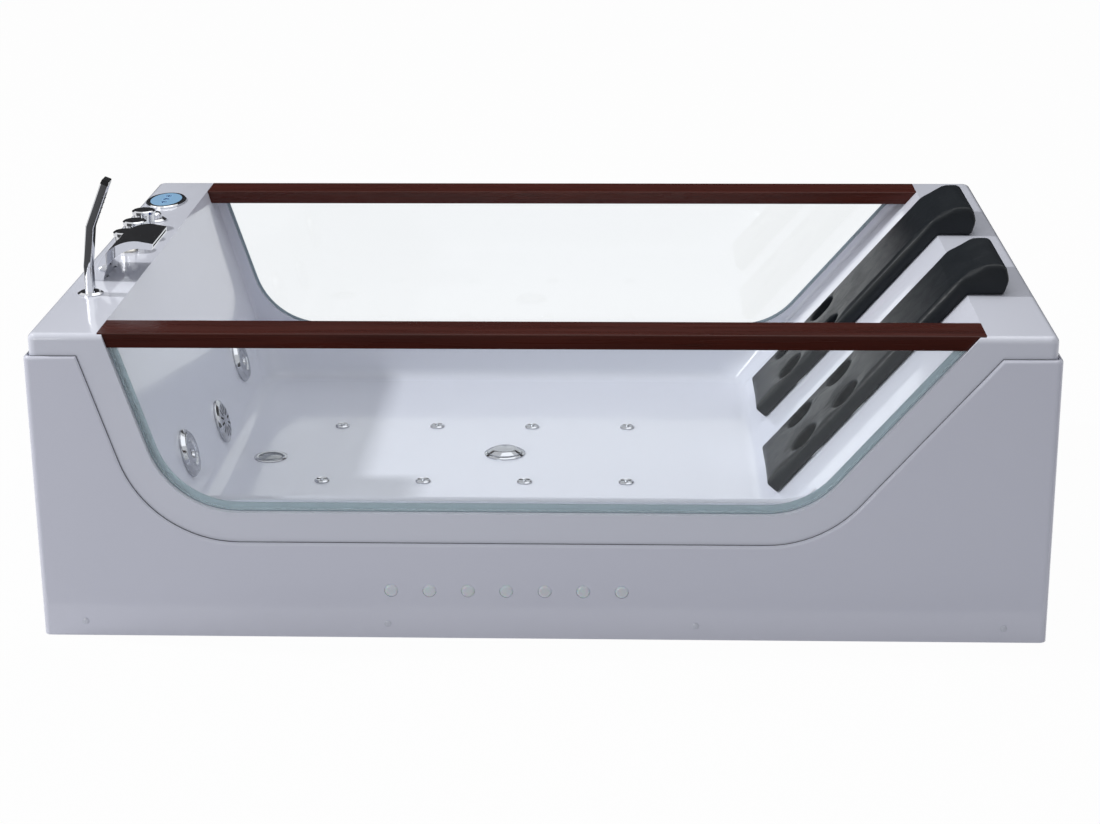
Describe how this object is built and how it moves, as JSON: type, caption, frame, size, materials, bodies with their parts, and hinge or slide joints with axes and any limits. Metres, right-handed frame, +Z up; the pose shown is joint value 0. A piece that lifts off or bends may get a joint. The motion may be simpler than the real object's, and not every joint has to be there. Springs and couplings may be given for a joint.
{
  "type": "jetted bathtub",
  "caption": "Freestanding two-person jetted bathtub with glass sides, wood rails, back pads, hand shower, waterfall spout, taps and a control panel on the foot deck.",
  "frame": {"origin": "on the floor, under the middle of the tub", "axes": "+X along the tub from the tap end to the pad end, +Y from the front skirt with the lights to the rear, +Z up"},
  "size_m": [1.82, 1.22, 0.7893],
  "materials": {
    "acrylic": "gloss",
    "skirt_white": "gloss",
    "window_glass": "clear",
    "seal": "matte",
    "stained_wood": "satin",
    "screw_steel": "satin",
    "frame_steel": "satin",
    "plywood": "matte",
    "foot_steel": "satin",
    "pad_foam": "matte",
    "chrome": "polished",
    "chromed_plastic": "polished",
    "frosted": "satin",
    "light_box": "matte",
    "pvc": "matte",
    "pump_plastic": "matte",
    "motor_paint": "satin",
    "brass": "satin",
    "display": "gloss",
    "key_blue": "gloss",
    "spray_rubber": "matte",
    "dark_cap": "gloss",
    "box_grey": "matte"
  },
  "bodies": {
    "tub": {"tub_shell": "acrylic", "front_glass": "window_glass", "rear_glass": "window_glass", "glass_seals": "seal", "front_rail": "stained_wood", "rear_rail": "stained_wood", "rail_screws": "screw_steel", "front_skirt": "skirt_white", "rear_skirt": "skirt_white", "foot_end_skirt": "skirt_white", "head_end_skirt": "skirt_white", "skirt_screws": "screw_steel", "skirt_brackets": "frame_steel", "skirt_light_lenses": "frosted", "skirt_light_strip": "light_box", "base_frame": "frame_steel", "levelling_feet": "foot_steel", "floor_board": "plywood", "jet_bodies": "pvc", "suction_fitting": "pvc", "suction_cover": "chrome", "back_jets": "chromed_plastic", "bubble_jets": "chromed_plastic", "drain_flange": "chrome", "floor_light_ring": "chrome", "floor_light_lens": "frosted", "shower_sleeve": "chrome", "waterfall_spout": "chrome", "deck_valves": "brass", "air_control_base": "chrome", "control_panel": "chromed_plastic", "panel_lens": "display", "deck_nuts": "brass", "pump_casing": "pump_plastic", "pump_motor": "motor_paint", "suction_pipe": "pvc", "jet_pipe": "pvc", "pressure_pipe": "pvc", "back_manifold": "pvc", "air_blower": "pump_plastic", "air_pipes": "pvc", "waste_trap": "pvc", "control_box": "box_grey"},
    "hand_shower": {"hand_shower_handle": "chrome", "hand_shower_face": "spray_rubber", "hand_shower_end_cap": "dark_cap"},
    "diverter": {"diverter_knob": "chrome"},
    "hot_tap": {"hot_knob": "chrome"},
    "cold_tap": {"cold_knob": "chrome"},
    "air_control": {"air_control_knob": "chrome"},
    "jets_button": {"jets_key": "key_blue"},
    "air_button": {"air_key": "key_blue"},
    "light_button": {"light_key": "key_blue"},
    "waste_cap": {"drain_cap": "chrome"},
    "front_ring": {"front_jet_ring": "chrome"},
    "front_nozzle": {"front_jet_nozzle": "chrome"},
    "rear_ring": {"rear_jet_ring": "chrome"},
    "rear_nozzle": {"rear_jet_nozzle": "chrome"},
    "front_headrest": {"front_pad": "pad_foam"},
    "rear_headrest": {"rear_pad": "pad_foam"}
  },
  "joints": [
    {"name": "shower_lift", "type": "slide", "parent": "tub", "child": "hand_shower", "axis": [0, 0, 1], "range_m": [0, 0.3]},
    {"name": "diverter_turn", "type": "hinge", "parent": "tub", "child": "diverter", "pos_m": [-0.845, -0.012, 0.59], "axis": [0, 0, 1], "range_deg": [-90, 90]},
    {"name": "hot_turn", "type": "hinge", "parent": "tub", "child": "hot_tap", "pos_m": [-0.845, 0.078, 0.59], "axis": [0, 0, 1], "range_deg": [0, 90]},
    {"name": "cold_turn", "type": "hinge", "parent": "tub", "child": "cold_tap", "pos_m": [-0.845, 0.168, 0.59], "axis": [0, 0, 1], "range_deg": [-90, 0]},
    {"name": "air_turn", "type": "hinge", "parent": "tub", "child": "air_control", "pos_m": [-0.838, 0.24, 0.58], "axis": [0, 0, 1], "range_deg": [0, 180]},
    {"name": "jets_press", "type": "slide", "parent": "tub", "child": "jets_button", "axis": [0, 0, -1], "range_m": [0, 0.0008], "stiffness_N_per_m": 800, "springref_m": -0.001},
    {"name": "air_press", "type": "slide", "parent": "tub", "child": "air_button", "axis": [0, 0, -1], "range_m": [0, 0.0008], "stiffness_N_per_m": 800, "springref_m": -0.001},
    {"name": "light_press", "type": "slide", "parent": "tub", "child": "light_button", "axis": [0, 0, -1], "range_m": [0, 0.0008], "stiffness_N_per_m": 800, "springref_m": -0.001},
    {"name": "waste_cap_lift", "type": "slide", "parent": "tub", "child": "waste_cap", "axis": [0, 0, 1], "range_m": [0, 0.01]},
    {"name": "front_ring_turn", "type": "hinge", "parent": "tub", "child": "front_ring", "pos_m": [-0.68357, -0.3, 0.24688], "axis": [0.9641, 0, 0.2656], "continuous": true},
    {"name": "front_nozzle_tilt", "type": "hinge", "parent": "front_ring", "child": "front_nozzle", "pos_m": [-0.68357, -0.3, 0.24688], "axis": [0, 1, 0], "range_deg": [-10, 10]},
    {"name": "rear_ring_turn", "type": "hinge", "parent": "tub", "child": "rear_ring", "pos_m": [-0.68357, 0.3, 0.24688], "axis": [0.9641, 0, 0.2656], "continuous": true},
    {"name": "rear_nozzle_tilt", "type": "hinge", "parent": "rear_ring", "child": "rear_nozzle", "pos_m": [-0.68357, 0.3, 0.24688], "axis": [0, 1, 0], "range_deg": [-10, 10]},
    {"name": "front_pad_lift", "type": "slide", "parent": "tub", "child": "front_headrest", "axis": [-0.7547, 0, 0.6561], "range_m": [0, 0.2]},
    {"name": "rear_pad_lift", "type": "slide", "parent": "tub", "child": "rear_headrest", "axis": [-0.7547, 0, 0.6561], "range_m": [0, 0.2]}
  ]
}
